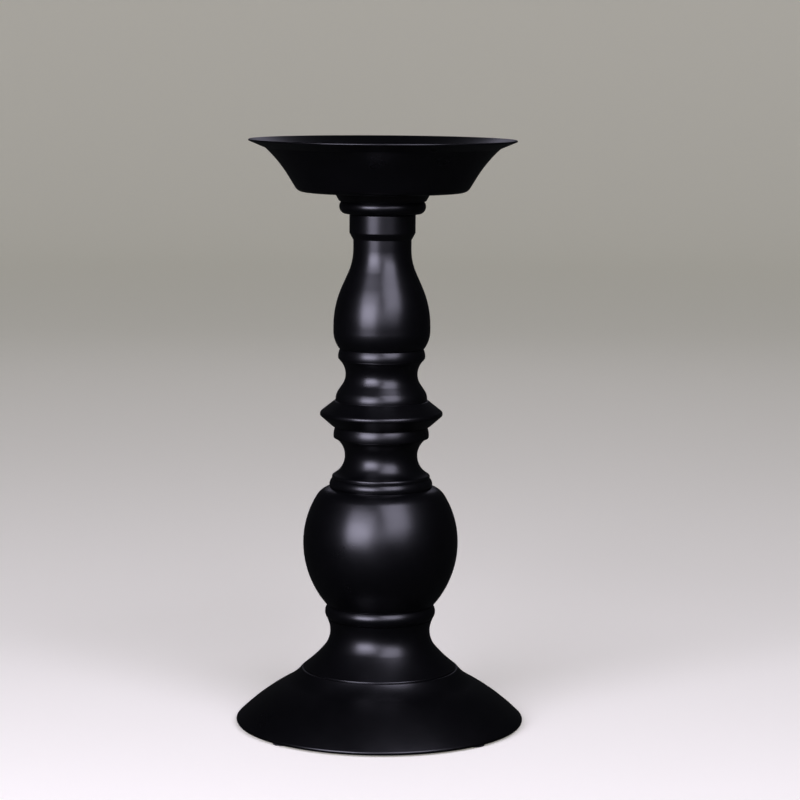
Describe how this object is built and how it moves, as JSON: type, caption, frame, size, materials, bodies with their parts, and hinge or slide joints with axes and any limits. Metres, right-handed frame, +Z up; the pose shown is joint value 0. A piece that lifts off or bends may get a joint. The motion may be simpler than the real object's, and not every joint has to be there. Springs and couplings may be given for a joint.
{
  "type": "candle holder",
  "caption": "Turned pillar candle holder with a flared dish, a baluster stem with a ball, and a domed round foot, in satin black.",
  "frame": {"origin": "on the table at the centre of the foot, under the stem's axis", "axes": "+Z up along the stem, from the foot to the dish; the holder is round, so +X and +Y are any two level directions"},
  "size_m": [0.125, 0.125, 0.254],
  "materials": {
    "black_coat": "satin",
    "blackened_steel": "satin",
    "zinc_steel": "satin",
    "eva_foam": "matte"
  },
  "bodies": {
    "root": {"base_pad_back_right": "eva_foam", "base_pad_back_left": "eva_foam", "base_pad_front_left": "eva_foam", "base_pad_front_right": "eva_foam", "foot_bell": "black_coat", "foot_neck": "black_coat", "ball_seat_ring": "black_coat", "ball_lower_half": "black_coat", "ball_upper_half": "black_coat", "ball_cap_ring": "black_coat", "spool": "black_coat", "flange_ring": "black_coat", "flange_lower_saucer": "black_coat", "flange_upper_saucer": "black_coat", "waist_plug": "black_coat", "waist_cup": "black_coat", "bead_ring": "black_coat", "vase_body": "black_coat", "neck_collar": "black_coat", "dish_seat_ring": "black_coat", "candle_dish": "black_coat", "dish_washer": "black_coat", "sleeve_nut": "blackened_steel", "tie_rod": "zinc_steel", "clamp_washer": "zinc_steel", "spring_washer": "zinc_steel", "bottom_nut": "zinc_steel"}
  },
  "joints": []
}
